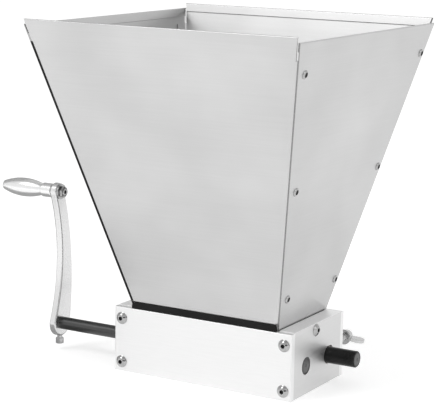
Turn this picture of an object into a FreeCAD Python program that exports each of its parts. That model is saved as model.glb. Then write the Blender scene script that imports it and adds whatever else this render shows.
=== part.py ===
"""Two-roller grain mill with a sheet steel hopper and a hand crank.

Frame: X runs along the rollers with the crank at -X, Y runs from the front plate to the
rear plate, Z is up. The origin is the centre of the housing's underside. Millimetres.
"""
import FreeCAD, Part
import math
import os
import Sketcher
from FreeCAD import Placement, Rotation, Vector

DIMENSIONS = {
    # housing
    "housing_length": 154.0,
    "housing_depth": 86.0,
    "housing_height": 51.5,
    "cover_height": 51.0,
    "end_thickness": 12.7,
    "cover_thickness": 5.0,
    "edge_round": 0.8,
    "joint_overlap": 0.4,
    "close_fit": 0.1,
    "loose_fit": 0.3,
    # rollers
    "roller_radius": 18.0,
    "roller_length": 127.0,
    "roller_height": 22.2,
    "front_axis_y": -18.9,
    "roller_gap": 0.6,
    "roller_chamfer": 0.8,
    "journal_radius": 6.35,
    "journal_clearance": 0.05,
    "stub_length": 24.4,
    "stub_relief_depth": 0.25,
    "stub_relief_length": 0.9,
    "stub_slot_clearance": 0.6,
    "end_chamfer": 0.9,
    # bushes and sliding blocks
    "bush_radius": 8.0,
    "bush_depth": 9.7,
    "bush_flange_radius": 10.0,
    "bush_flange": 0.5,
    "block_thickness": 9.4,
    "block_height": 22.0,
    "block_front": 10.0,
    "block_rear": 14.0,
    "block_clearance": 0.1,
    "block_inner_gap": 0.2,
    "gap_travel": 2.0,
    # wing screws
    "wing_height": 25.0,
    "wing_inset": 4.9,
    "wing_shank_radius": 3.0,
    "wing_tap_depth": 8.0,
    "wing_tip_depth": 4.5,
    "wing_tip_chamfer": 0.4,
    "wing_groove_radius": 2.0,
    "wing_groove_start": 1.3,
    "wing_groove_width": 1.8,
    "wing_hub_start": 59.5,
    "wing_hub_length": 8.5,
    "wing_hub_radius": 6.0,
    "wing_nose_radius": 4.6,
    "wing_nose_chamfer": 1.1,
    "wing_span_radius": 14.0,
    "wing_root_radius": 2.0,
    "wing_root_start": 1.2,
    "wing_root_end": 7.2,
    "wing_shoulder": 4.0,
    "wing_shoulder_drop": 4.5,
    "wing_tip_start": 9.5,
    "wing_tip_end": 14.5,
    "wing_tip_drop": 3.5,
    "wing_front_bow": 24.0,
    "wing_back_bow": 20.0,
    "wing_sweep_bow": 8.5,
    "wing_end_bow": 3.6,
    "wing_thickness": 2.8,
    "wing_turn": -18.0,
    "screw_pin_radius": 0.75,
    "screw_pin_length": 11.6,
    "screw_pin_sink": 0.2,
    # screws of the housing
    "screw_inset": 6.35,
    "screw_low": 7.6,
    "screw_high": 42.2,
    "screw_shank_radius": 2.5,
    "screw_shank_length": 16.0,
    "screw_sphere_radius": 5.48,
    "screw_head_height": 2.75,
    "screw_head_angle": 29.9,
    "hex_socket_radius": 1.75,
    "hex_socket_depth": 1.8,
    "base_hole_radius": 2.5,
    "base_hole_depth": 9.0,
    "base_hole_y": 15.0,
    # hopper
    "sheet_thickness": 0.8,
    "hopper_top_x": 227.0,
    "hopper_top_y": 227.0,
    "hopper_top_z": 274.0,
    "hopper_low_x": 127.2,
    "hopper_low_y": 80.4,
    "hopper_rise": 4.7,
    "side_rise": 0.4,
    "side_drop": 3.8,
    "hem_height": 6.0,
    "hem_thickness": 1.0,
    "hem_end_gap": 3.0,
    "front_flange": 20.0,
    "rear_flange": 13.0,
    "corner_notch": 16.5,
    "corner_step": 1.4,
    "flange_start": 3.0,
    "skirt_low": 41.2,
    "front_skirt_low": 44.0,
    "skirt_gap": 0.2,
    "front_rivet_inset": 10.6,
    "rear_rivet_inset": 4.6,
    "rivet_head_radius": 3.2,
    "rivet_head_height": 1.1,
    "rivet_shank_radius": 1.6,
    "rivet_tail_angle": 20.0,
    "rivet_reach": 4.0,
    "rivet_drill": 6.0,
    "rivet_hole_radius": 1.25,
    "seal_length": 125.2,
    "seal_foot": 4.2,
    "seal_lip": 0.4,
    "seal_gap": 0.05,
    "hopper_screw_y": -4.0,
    "hopper_screw_z": 46.4,
    "hopper_screw_length": 19.0,
    "hopper_drill": 10.0,
    "nut_radius": 4.6,
    "nut_thickness": 4.0,
    # crank
    "crank_shaft_radius": 5.0,
    "crank_inner_x": -143.5,
    "crank_thickness": 6.0,
    "crank_hub_radius": 10.6,
    "crank_boss_radius": 6.8,
    "crank_boss_y": -21.9,
    "crank_boss_z": 130.2,
    "crank_hub_front": 9.7,
    "crank_hub_front_rise": 3.8,
    "crank_hub_rear": 10.4,
    "crank_hub_rear_drop": 0.6,
    "crank_boss_front": 5.8,
    "crank_boss_front_drop": 3.1,
    "crank_boss_rear": 6.3,
    "crank_boss_rear_drop": 2.0,
    "crank_front_bow": 151.6,
    "crank_rear_bow": 255.0,
    "clamp_shank_radius": 2.0,
    "clamp_head_radius": 3.2,
    "clamp_head_height": 4.4,
    "clamp_reach": 2.2,
    "clamp_tap_overlap": 1.0,
    # grip
    "grip_length": 48.2,
    "grip_gap": 0.3,
    "grip_collar_radius": 5.6,
    "grip_collar_length": 9.6,
    "grip_collar_chamfer": 0.5,
    "grip_neck_step": 1.0,
    "grip_neck_radius": 4.5,
    "grip_end_radius": 4.1,
    "grip_end_length": 0.9,
    "grip_end_inset": 1.0,
    "grip_end_bow": 1.5,
    "grip_bow": 54.0,
    "grip_bore_end": 1.0,
    "grip_ring_room": 1.6,
    "grip_ring_depth": 1.4,
    "spindle_radius": 3.0,
    "spindle_clearance": 0.08,
    "spindle_reach": 31.0,
    "spindle_stand": 0.4,
    "spindle_socket_radius": 1.7,
    "spindle_socket_depth": 2.4,
    "ring_from_end": 4.0,
    "ring_thickness": 1.0,
    "ring_inner_step": 0.5,
    "ring_outer_step": 1.2,
    "spacer_radius": 5.3,
    "spacer_thickness": 0.5,
    "washer_radius": 5.9,
    "washer_thickness": 1.2,
    "grip_nut_radius": 4.6,
    "grip_nut_thickness": 2.8,
    "grip_nut_turn": 8.0,
}

RIVET_HEIGHTS = {"upper": 0.878, "middle": 0.482, "lower": 0.088}
SOCKET_TURNS = {"low": 11, "high": 0, "left": -17, "right": 17, "hopper": 12}
SIDES = {"left": -1, "right": 1}
ENDS = {"front": -1, "rear": 1}

X_AXIS = Vector(1, 0, 0)
Y_AXIS = Vector(0, 1, 0)
Z_AXIS = Vector(0, 0, 1)

doc = FreeCAD.newDocument("GrainMill")


def make_sheet():
    """The spreadsheet that holds the driving dimensions."""
    sheet = doc.addObject("Spreadsheet::Sheet", "dims")
    for row, (alias, number) in enumerate(DIMENSIONS.items(), start=1):
        sheet.set(f"A{row}", alias)
        sheet.set(f"B{row}", str(number))
        sheet.setAlias(f"B{row}", alias)
    doc.recompute()
    return sheet


class Size:
    """A length: its value now, and the sheet formula that gives it."""

    def __init__(self, value, text):
        self.value = float(value)
        self.text = text

    def combine(self, other, symbol, swapped=False):
        other = as_size(other)
        first, second = (other, self) if swapped else (self, other)
        results = {
            "+": first.value + second.value,
            "-": first.value - second.value,
            "*": first.value * second.value,
            "/": first.value / second.value if symbol == "/" else 0.0,
        }
        return Size(results[symbol], f"({first.text} {symbol} {second.text})")

    def __add__(self, other):
        return self.combine(other, "+")

    def __radd__(self, other):
        return self.combine(other, "+", swapped=True)

    def __sub__(self, other):
        return self.combine(other, "-")

    def __rsub__(self, other):
        return self.combine(other, "-", swapped=True)

    def __mul__(self, other):
        return self.combine(other, "*")

    def __rmul__(self, other):
        return self.combine(other, "*", swapped=True)

    def __truediv__(self, other):
        return self.combine(other, "/")

    def __neg__(self):
        return self * -1


def as_size(number):
    """A plain number as a Size; a Size stays as it is."""
    return number if isinstance(number, Size) else Size(number, f"({float(number):.6g})")


class SheetSizes:
    """Reads a dimension of the sheet as a Size, by its alias."""

    def __getattr__(self, alias):
        return Size(sheet.get(alias), f"dims.{alias}")


sheet = make_sheet()
d = SheetSizes()

# Planes and heights that several pieces share.
end_outer = d.housing_length / 2
end_inner = end_outer - d.end_thickness
cover_outer = d.housing_depth / 2
cover_inner = cover_outer - d.cover_thickness
rear_axis_y = d.front_axis_y + d.roller_radius * 2 + d.roller_gap
journal_bore = d.journal_radius + d.journal_clearance
block_inner = end_inner + d.block_inner_gap
block_low = d.roller_height - d.block_height / 2
block_high = d.roller_height + d.block_height / 2
block_rear = rear_axis_y + d.block_rear
pocket_depth = d.block_thickness + 4 * d.block_clearance
screw_x = end_inner + d.screw_inset
wing_x = end_inner + d.wing_inset
fold_z = d.housing_height + d.hopper_rise
side_fold_z = d.housing_height + d.side_rise
hopper_height = d.hopper_top_z - fold_z
slope_x = (d.hopper_top_x - d.hopper_low_x) / 2 / (d.hopper_top_z - side_fold_z)
slope_y = (d.hopper_top_y - d.hopper_low_y) / 2 / hopper_height
tip_y = block_rear - d.wing_tip_depth
groove_start = tip_y + d.wing_groove_start
pin_y = groove_start + d.wing_groove_width / 2
pin_x = wing_x + d.wing_groove_radius + d.screw_pin_radius + d.close_fit
crank_outer_x = d.crank_inner_x - d.crank_thickness
crank_middle_x = crank_outer_x + d.crank_thickness / 2
spacer_outer_x = crank_outer_x - d.spacer_thickness
grip_start_x = spacer_outer_x - d.grip_gap


# ---------------------------------------------------------------- helpers

def bind(obj, **sizes):
    """Binds properties to sheet formulas; a double underscore stands for a dot."""
    for name, size in sizes.items():
        obj.setExpression(name.replace("__", "."), as_size(size).text)


def place(obj, position, rotation=Rotation()):
    """Gives an object its rotation and binds its position to the sheet."""
    obj.Placement = Placement(Vector(*(as_size(p).value for p in position)), rotation)
    bind(obj, Placement__Base__x=position[0], Placement__Base__y=position[1],
         Placement__Base__z=position[2])
    return obj


def pointing(direction):
    """The rotation that turns +Z to a direction."""
    return Rotation(Z_AXIS, Vector(direction))


def box(name, low, high):
    """A box between two corners."""
    solid = doc.addObject("Part::Box", name)
    bind(solid, Length=high[0] - as_size(low[0]), Width=high[1] - as_size(low[1]),
         Height=high[2] - as_size(low[2]))
    return place(solid, low)


def cylinder(name, radius, length, start, direction):
    """A cylinder from a start point along a direction."""
    solid = doc.addObject("Part::Cylinder", name)
    bind(solid, Radius=radius, Height=length)
    return place(solid, start, pointing(direction))


def hexagon(name, radius, length, start, direction, turn=0):
    """A six-sided prism from a start point along a direction."""
    solid = doc.addObject("Part::Prism", name)
    solid.Polygon = 6
    bind(solid, Circumradius=radius, Height=length)
    return place(solid, start, pointing(direction) * Rotation(Z_AXIS, turn))


def dome(name, radius, base_angle, head_height, base, direction):
    """A spherical cap whose flat base is centred on a point and which bulges along a direction."""
    solid = doc.addObject("Part::Sphere", name)
    bind(solid, Radius=radius, Angle1=base_angle)
    solid.Angle2 = 90
    sink = radius - head_height
    centre = [b - as_size(sink) * part for b, part in zip(base, direction)]
    return place(solid, centre, pointing(direction))


def slanted(name, low, high):
    """A straight-sided solid between two level rectangles, each (x0, x1, y0, y1, z)."""
    solid = doc.addObject("Part::Wedge", name)
    bind(solid, Xmin=low[0], Xmax=low[1], Zmin=-as_size(low[3]), Zmax=-as_size(low[2]),
         Ymin=low[4], X2min=high[0], X2max=high[1], Z2min=-as_size(high[3]),
         Z2max=-as_size(high[2]), Ymax=high[4])
    solid.Placement = Placement(Vector(), Rotation(X_AXIS, 90))
    return solid


def fuse(name, *pieces):
    """One object from several."""
    joined = doc.addObject("Part::MultiFuse", name)
    joined.Shapes = list(pieces)
    return joined


def cut(name, base, *tools):
    """The base less its tools."""
    result = doc.addObject("Part::Cut", name)
    result.Base = base
    result.Tool = tools[0] if len(tools) == 1 else fuse(name + "_tools", *tools)
    return result


def new_body(name, position=(0, 0, 0), rotation=Rotation()):
    """An empty PartDesign body at its place."""
    return place(doc.addObject("PartDesign::Body", name), position, rotation)


def new_sketch(body, name, role):
    """A sketch on one of the body's own origin planes."""
    plane = next(f for f in body.Origin.OriginFeatures if f.Role == role)
    sketch = body.newObject("Sketcher::SketchObject", name)
    sketch.AttachmentSupport = (plane, [""])
    sketch.MapMode = "FlatFace"
    return sketch


def fix_point(sketch, geometry, end, point):
    """Ties a point of the sketch to its sheet coordinates."""
    for kind, size in zip(("DistanceX", "DistanceY"), point):
        size = as_size(size)
        index = sketch.addConstraint(
            Sketcher.Constraint(kind, -1, 1, geometry, end, size.value))
        sketch.setExpression(f"Constraints[{index}]", size.text)


def fix_radius(sketch, geometry, radius):
    """Ties the radius of a circle or arc to the sheet."""
    index = sketch.addConstraint(Sketcher.Constraint("Radius", geometry, as_size(radius).value))
    sketch.setExpression(f"Constraints[{index}]", as_size(radius).text)


def draw_circle(sketch, centre, radius):
    """A circle at sheet coordinates."""
    middle = Vector(as_size(centre[0]).value, as_size(centre[1]).value, 0)
    circle = sketch.addGeometry(Part.Circle(middle, Z_AXIS, as_size(radius).value), False)
    fix_point(sketch, circle, 3, centre)
    fix_radius(sketch, circle, radius)


def draw_outline(sketch, corners, arcs=None):
    """A closed outline; arcs gives, for the side after a corner, its radius and bulge sign."""
    arcs = arcs or {}
    points = [Vector(as_size(x).value, as_size(y).value, 0) for x, y in corners]
    count = len(points)
    for i, start in enumerate(points):
        end = points[(i + 1) % count]
        if i in arcs:
            radius, sign = arcs[i]
            middle = arc_middle(start, end, as_size(radius).value, sign)
            # A sketch keeps its arcs anticlockwise, so a left bulge runs from end to start.
            side = Part.Arc(end, middle, start) if sign > 0 else Part.Arc(start, middle, end)
        else:
            side = Part.LineSegment(start, end)
        sketch.addGeometry(side, False)
    for i, corner in enumerate(corners):
        start_end = nearest_end(sketch, i, points[i])
        last_end = nearest_end(sketch, i - 1 if i else count - 1, points[i])
        sketch.addConstraint(
            Sketcher.Constraint("Coincident", i, start_end, i - 1 if i else count - 1, last_end))
        fix_point(sketch, i, start_end, corner)
    for i, (radius, _) in arcs.items():
        fix_radius(sketch, i, radius)


def arc_middle(start, end, radius, sign):
    """The middle point of an arc that bulges to the left of its chord, or right with sign -1."""
    chord = end - start
    half = chord.Length / 2
    rise = radius - math.sqrt(radius ** 2 - half ** 2)
    left = Vector(-chord.y, chord.x, 0).normalize()
    return (start + end) * 0.5 + left * (rise * sign)


def nearest_end(sketch, geometry, point):
    """1 or 2: the end of a side that lies at a point."""
    side = sketch.Geometry[geometry]
    return 1 if side.StartPoint.distanceToPoint(point) < side.EndPoint.distanceToPoint(point) else 2


def pad(body, sketch, length, both_sides=False):
    """A pad of a sketch."""
    feature = body.newObject("PartDesign::Pad", sketch.Name + "_pad")
    feature.Profile = sketch
    bind(feature, Length=length)
    if both_sides:
        feature.SideType = "Symmetric"
    return feature


def pocket(body, sketch, length=None, reverse=False):
    """A pocket of a sketch, right through when no length is given, checked to cut something."""
    doc.recompute()
    before = body.Shape.Volume
    feature = body.newObject("PartDesign::Pocket", sketch.Name + "_pocket")
    feature.Profile = sketch
    feature.Reversed = reverse
    if length is None:
        feature.Type = "ThroughAll"
    else:
        bind(feature, Length=length)
    doc.recompute()
    if body.Shape.Volume > before - 1e-3:
        raise RuntimeError(f"{sketch.Name} cuts nothing")
    return feature


def revolve(body, sketch, axis="H_Axis"):
    """A full turn of a sketch about one of its own axes."""
    feature = body.newObject("PartDesign::Revolution", sketch.Name + "_revolution")
    feature.Profile = sketch
    feature.ReferenceAxis = (sketch, [axis])
    feature.Angle = 360
    return feature


def round_edges(body, radius, test):
    """Fillets the edges whose middle point passes a test."""
    doc.recompute()
    base = body.Tip
    names = []
    for i, edge in enumerate(base.Shape.Edges, start=1):
        middle = edge.valueAt((edge.FirstParameter + edge.LastParameter) / 2)
        if test(edge, middle):
            names.append(f"Edge{i}")
    feature = body.newObject("PartDesign::Fillet", body.Name + "_fillet")
    feature.Base = (base, names)
    bind(feature, Radius=radius)
    doc.recompute()
    return feature


def turned(name, profile, position, rotation=Rotation(), arcs=None):
    """A turned piece: a profile of (distance along X, radius) revolved about X."""
    body = new_body(name, position, rotation)
    sketch = new_sketch(body, name + "_profile", "XZ_Plane")
    draw_outline(sketch, profile, arcs)
    revolve(body, sketch)
    return body


def facing(side):
    """The rotation that turns +X outward on a side."""
    return Rotation(Z_AXIS, 0 if side > 0 else 180)


# ---------------------------------------------------------------- housing

def end_plate(label, side):
    """A thick end plate, drawn with +X outward and then turned to its side."""
    body = new_body(f"end_plate_{label}", (end_inner * side, 0, 0), facing(side))
    name = body.Name
    outline = new_sketch(body, name + "_outline", "YZ_Plane")
    edge = cover_inner
    draw_outline(outline, [(-edge, 0), (edge, 0), (edge, d.housing_height),
                           (-edge, d.housing_height)])
    pad(body, outline, d.end_thickness)

    journal = new_sketch(body, name + "_bush_seat", "YZ_Plane")
    front_y = d.front_axis_y * side
    draw_circle(journal, (front_y, d.roller_height), d.bush_radius)
    pocket(body, journal, d.bush_depth + d.loose_fit, reverse=True)
    shaft_radius = d.journal_radius if side > 0 else d.crank_shaft_radius
    outlet = new_sketch(body, name + "_shaft_outlet", "YZ_Plane")
    draw_circle(outlet, (front_y, d.roller_height), shaft_radius + d.loose_fit)
    pocket(body, outlet, reverse=True)

    block_seat = new_sketch(body, name + "_block_seat", "YZ_Plane")
    gap = d.block_clearance
    front = (rear_axis_y - d.block_front - gap) * side
    rear = (block_rear + d.gap_travel + gap) * side
    low = block_low - gap
    high = block_high + gap
    draw_outline(block_seat, [(front, low), (rear, low), (rear, high), (front, high)])
    pocket(body, block_seat, pocket_depth, reverse=True)
    if side > 0:
        slot = new_sketch(body, name + "_stub_slot", "YZ_Plane")
        radius = d.journal_radius + d.stub_slot_clearance
        near = rear_axis_y
        far = rear_axis_y + d.gap_travel
        draw_outline(slot, [(near, d.roller_height - radius), (far, d.roller_height - radius),
                            (far, d.roller_height + radius), (near, d.roller_height + radius)])
        pocket(body, slot, reverse=True)
        for part, y in (("near", near), ("far", far)):
            rounding = new_sketch(body, f"{name}_stub_slot_{part}", "YZ_Plane")
            draw_circle(rounding, (y, d.roller_height), radius)
            pocket(body, rounding, reverse=True)

    hopper_hole = new_sketch(body, name + "_hopper_screw_hole", "YZ_Plane")
    draw_circle(hopper_hole, (d.hopper_screw_y * side, d.hopper_screw_z),
                d.screw_shank_radius + d.close_fit)
    pocket(body, hopper_hole, reverse=True)
    round_edges(body, d.edge_round, lambda e, m: abs(m.x - d.end_thickness.value) < 1e-3
                and abs(abs(m.z - d.housing_height.value / 2) - d.housing_height.value / 2) < 1e-3)

    tools = []
    for end_label, end in ENDS.items():
        for level, z in (("low", d.screw_low), ("high", d.screw_high)):
            start = (screw_x * side, cover_inner * end, z)
            tools.append(cylinder(f"{name}_tap_{end_label}_{level}",
                                  d.screw_shank_radius + d.close_fit / 2,
                                  d.screw_shank_length - d.cover_thickness + 1, start,
                                  (0, -end, 0)))
        base = (screw_x * side, d.base_hole_y * end, 0)
        tools.append(cylinder(f"{name}_base_tap_{end_label}", d.base_hole_radius,
                              d.base_hole_depth, base, (0, 0, 1)))
    wing_start = (wing_x * side, cover_inner, d.wing_height)
    tools.append(cylinder(f"{name}_wing_tap", d.wing_shank_radius + d.close_fit,
                          d.wing_tap_depth, wing_start, (0, -1, 0)))
    return cut(f"end_plate_{label}_tapped", body, *tools)


def cover_plate(label, end):
    """The front or rear plate, with its screw holes."""
    outer = cover_outer if end > 0 else -cover_inner
    body = new_body(f"{label}_cover", (0, outer, 0))
    outline = new_sketch(body, body.Name + "_outline", "XZ_Plane")
    draw_outline(outline, [(-end_outer, 0), (end_outer, 0), (end_outer, d.cover_height),
                           (-end_outer, d.cover_height)])
    pad(body, outline, d.cover_thickness)
    holes = new_sketch(body, body.Name + "_holes", "XZ_Plane")
    for side in SIDES.values():
        for z in (d.screw_low, d.screw_high):
            draw_circle(holes, (screw_x * side, z), d.screw_shank_radius + 1.5 * d.close_fit)
        if end > 0:
            draw_circle(holes, (wing_x * side, d.wing_height),
                        d.wing_shank_radius + d.close_fit)
    pocket(body, holes, reverse=True)
    face = 0.0 if end > 0 else -d.cover_thickness.value
    half = end_outer.value
    middle_z = d.cover_height.value / 2

    def on_rim(edge, middle):
        at_side = abs(abs(middle.x) - half) < 1e-3
        at_level = abs(abs(middle.z - middle_z) - middle_z) < 1e-3
        return abs(middle.y - face) < 1e-3 and (at_side or at_level)

    round_edges(body, d.edge_round, on_rim)
    return body


def button_screw(name, base, direction, shank_length, socket_turn=0):
    """A button-head screw: a dome on a shank, with a hexagonal socket."""
    back = tuple(-part for part in direction)
    head = dome(name + "_head", d.screw_sphere_radius, d.screw_head_angle, d.screw_head_height,
                base, direction)
    root = [b + d.joint_overlap * part for b, part in zip(base, direction)]
    shank = cylinder(name + "_shank", d.screw_shank_radius, shank_length + d.joint_overlap, root,
                     back)
    top = [b + d.screw_head_height * part for b, part in zip(base, direction)]
    socket = hexagon(name + "_socket", d.hex_socket_radius, d.hex_socket_depth, top, back,
                     socket_turn)
    return cut(name, fuse(name + "_blank", head, shank), socket)


def cover_screws(label, end):
    """The four screws of a cover plate, as one group."""
    screws = []
    for side_label, side in SIDES.items():
        for level, z in (("low", d.screw_low), ("high", d.screw_high)):
            base = (screw_x * side, cover_outer * end, z)
            screws.append(button_screw(f"{label}_screw_{side_label}_{level}", base,
                                       (0, end, 0), d.screw_shank_length,
                                       SOCKET_TURNS[level] + SOCKET_TURNS[side_label]))
    return fuse(f"{label}_screws", *screws)


def flanged_bush(name, flange_start, flange, length, y, side):
    """A bush with a thin thrust flange towards the roller."""
    profile = [(0, journal_bore), (flange + length, journal_bore), (flange + length, d.bush_radius),
               (flange, d.bush_radius), (flange, d.bush_flange_radius),
               (0, d.bush_flange_radius)]
    return turned(name, profile, (flange_start * side, y, d.roller_height), facing(side))


# ---------------------------------------------------------------- hopper

def half_x(z):
    """Half the hopper's outer width in X at a height."""
    return d.hopper_low_x / 2 + slope_x * (z - side_fold_z)


def half_y(z):
    """Half the hopper's outer depth in Y at a height."""
    return d.hopper_low_y / 2 + slope_y * (z - fold_z)


def y_band(end, near, far):
    """Low and high Y of a layer between two distances from the centre, on the front or rear."""
    return (-far, -near) if end < 0 else (near, far)


def x_band(side, near, far):
    """Low and high X of a layer between two distances from the centre, on the left or right."""
    return (-far, -near) if side < 0 else (near, far)


def wide_panel(label, end):
    """The front or rear sheet: slope, rim hem, corner flanges and the skirt into the housing."""
    name = f"hopper_{label}_panel"
    sheet_t = d.sheet_thickness

    def slope_layer(z, inset, thickness, width):
        return (-width, width, *y_band(end, half_y(z) - inset - thickness, half_y(z) - inset), z)

    low_z = fold_z + d.flange_start
    high_z = d.hopper_top_z - d.corner_notch
    step = sheet_t + d.corner_step
    pieces = [slanted(name + "_slope", slope_layer(fold_z, 0, sheet_t, half_x(fold_z) - sheet_t),
                      slope_layer(high_z, 0, sheet_t, half_x(high_z) - sheet_t)),
              slanted(name + "_rim", slope_layer(high_z, 0, sheet_t, half_x(high_z) - step),
                      slope_layer(d.hopper_top_z, 0, sheet_t, half_x(d.hopper_top_z) - step))]
    hem_z = d.hopper_top_z - d.hem_height
    pieces.append(slanted(name + "_hem",
                          slope_layer(hem_z, sheet_t, d.hem_thickness,
                                      half_x(hem_z) - d.hem_end_gap),
                          slope_layer(d.hopper_top_z, sheet_t, d.hem_thickness,
                                      half_x(d.hopper_top_z) - d.hem_end_gap)))
    flange = d.front_flange if end < 0 else d.rear_flange
    for side_label, side in SIDES.items():
        rectangles = []
        for z in (low_z, high_z):
            flange_x = x_band(side, half_x(z) - sheet_t * 2, half_x(z) - sheet_t)
            flange_y = y_band(end, half_y(z) - flange, half_y(z) - sheet_t / 2)
            rectangles.append((*flange_x, *flange_y, z))
        pieces.append(slanted(f"{name}_flange_{side_label}", *rectangles))
    side_gap = sheet_t + 1.5 * d.close_fit
    skirt_half = d.hopper_low_x / 2 - side_gap
    skirt_near = cover_inner - d.skirt_gap - sheet_t
    skirt_y = y_band(end, skirt_near, skirt_near + sheet_t)
    pieces.append(slanted(name + "_turn", (-skirt_half, skirt_half, *skirt_y, side_fold_z),
                          slope_layer(fold_z, 0, sheet_t, half_x(fold_z) - side_gap)))
    pieces.append(box(name + "_skirt", (-skirt_half, skirt_y[0], d.front_skirt_low),
                      (skirt_half, skirt_y[1], side_fold_z)))
    holes = [hole for side_label, side in SIDES.items()
             for hole in rivet_holes(f"{name}_{side_label}", side, label)]
    return cut(name, fuse(name + "_blank", *pieces), *holes)


def side_panel(label, side):
    """The left or right sheet: slope, rim hem and the skirt that is screwed to the end plate."""
    name = f"hopper_{label}_panel"
    sheet_t = d.sheet_thickness
    top_z = d.hopper_top_z - d.side_drop

    def slope_layer(z, inset, thickness, depth):
        return (*x_band(side, half_x(z) - inset - thickness, half_x(z) - inset), -depth, depth, z)

    pieces = [slanted(name + "_slope",
                      slope_layer(side_fold_z, 0, sheet_t, half_y(side_fold_z)),
                      slope_layer(top_z, 0, sheet_t, half_y(top_z)))]
    hem_z = top_z - d.hem_height
    pieces.append(slanted(name + "_hem",
                          slope_layer(hem_z, sheet_t, d.hem_thickness,
                                      half_y(hem_z) - d.hem_end_gap),
                          slope_layer(top_z, sheet_t, d.hem_thickness,
                                      half_y(top_z) - d.hem_end_gap)))
    outer = d.hopper_low_x / 2
    skirt_x = x_band(side, outer - sheet_t, outer)
    skirt_depth = cover_inner - d.close_fit
    pieces.append(box(name + "_skirt", (skirt_x[0], -skirt_depth, d.skirt_low),
                      (skirt_x[1], skirt_depth, side_fold_z)))
    hole = cylinder(name + "_hole", d.screw_shank_radius + d.close_fit, d.hopper_drill,
                    ((outer - d.hopper_drill / 2) * side, d.hopper_screw_y, d.hopper_screw_z),
                    (side, 0, 0))
    return cut(name, fuse(name + "_blank", *pieces), hole, *rivet_holes(name, side))


def rivet_direction(side):
    """The outward normal of a side sheet."""
    return Vector(side, 0, -slope_x.value).normalize()


def rivet_spots(side):
    """Name and outer-surface point of each rivet on a side sheet."""
    for end_label, end in ENDS.items():
        inset = d.front_rivet_inset if end < 0 else d.rear_rivet_inset
        for level, share in RIVET_HEIGHTS.items():
            z = fold_z + hopper_height * share
            yield f"{end_label}_{level}", (half_x(z) * side, (half_y(z) - inset) * end, z)


def rivet_holes(name, side, end_label=""):
    """Cylinders that pierce the sheets at a side's rivets, or at those of one end of it."""
    normal = rivet_direction(side)
    return [cylinder(f"{name}_{spot}", d.rivet_shank_radius, d.rivet_drill,
                     [p - d.rivet_reach * part for p, part in zip(point, normal)], normal)
            for spot, point in rivet_spots(side) if spot.startswith(end_label)]


def side_rivets(label, side):
    """The six blind rivets of a side: a low dome with a hole, a shank and an upset end."""
    normal = rivet_direction(side)
    head_height = d.rivet_head_height
    head = (d.rivet_head_radius * d.rivet_head_radius / head_height + head_height) / 2
    angle = math.degrees(math.asin((head - head_height).value / head.value))
    rivets = []
    for spot, point in rivet_spots(side):
        name = f"rivet_{label}_{spot}"
        inward = -normal
        outer = dome(name + "_head", head, angle, head_height, point, normal)
        root = [p + d.joint_overlap * part for p, part in zip(point, normal)]
        shank = cylinder(name + "_shank", d.rivet_shank_radius,
                         d.sheet_thickness * 2 + d.joint_overlap * 2, root, inward)
        inside = [p + d.sheet_thickness * 2 * part for p, part in zip(point, inward)]
        tail = dome(name + "_tail", d.rivet_shank_radius * 1.5, d.rivet_tail_angle,
                    d.rivet_shank_radius, inside, inward)
        mouth = [p + head_height * 1.5 * part for p, part in zip(point, normal)]
        hole = cylinder(name + "_hole", d.rivet_hole_radius, head_height * 2, mouth, inward)
        rivets.append(cut(name, fuse(name + "_blank", outer, shank, tail), hole))
    return fuse(f"hopper_rivets_{label}", *rivets)


def seal_strip(label, end):
    """The soft strip that closes the slit between a wide sheet and the top of its plate."""
    body = new_body(f"hopper_seal_{label}")
    section = new_sketch(body, body.Name + "_section", "YZ_Plane")
    foot_near = cover_inner
    lip_near = half_y(fold_z) + d.seal_gap
    low = d.cover_height
    high = fold_z - d.loose_fit
    draw_outline(section, [(foot_near * end, low), ((foot_near + d.seal_foot) * end, low),
                           ((lip_near + d.seal_lip) * end, high), (lip_near * end, high)])
    pad(body, section, d.seal_length, both_sides=True)
    return body


def hopper_fixing(label, side):
    """The screw through an end plate and the nut inside the hopper's skirt."""
    base = (end_outer * side, d.hopper_screw_y, d.hopper_screw_z)
    screw = button_screw(f"hopper_screw_{label}", base, (side, 0, 0), d.hopper_screw_length,
                         SOCKET_TURNS["hopper"])
    face = d.hopper_low_x / 2 - d.sheet_thickness
    start = (face * side, d.hopper_screw_y, d.hopper_screw_z)
    blank = hexagon(f"nut_blank_{label}", d.nut_radius, d.nut_thickness, start, (-side, 0, 0), 30)
    bore = cylinder(f"nut_bore_{label}", d.screw_shank_radius, d.nut_thickness, start,
                    (-side, 0, 0))
    return screw, cut(f"hopper_nut_{label}", blank, bore)


# ---------------------------------------------------------------- rollers

def drum(name, y):
    """A roller drum with slightly chamfered ends, pressed on its shaft."""
    half = d.roller_length / 2
    edge = d.roller_chamfer
    profile = [(-half, d.journal_radius), (-half, d.roller_radius - edge),
               (-half + edge, d.roller_radius), (half - edge, d.roller_radius),
               (half, d.roller_radius - edge), (half, d.journal_radius)]
    return turned(name, profile, (0, y, d.roller_height))


def front_shaft():
    """The crank's shaft: thin at the crank end, thick inside the bushes."""
    left = crank_outer_x + d.joint_overlap
    shoulder = -(end_inner + d.bush_depth)
    chamfer = d.end_chamfer / 2
    profile = [(left, 0), (left, d.crank_shaft_radius - chamfer),
               (left + chamfer, d.crank_shaft_radius), (shoulder, d.crank_shaft_radius),
               (shoulder, d.journal_radius), (end_outer - chamfer, d.journal_radius),
               (end_outer, d.journal_radius - chamfer), (end_outer, 0)]
    return turned("front_roller_shaft", profile, (0, d.front_axis_y, d.roller_height))


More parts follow.
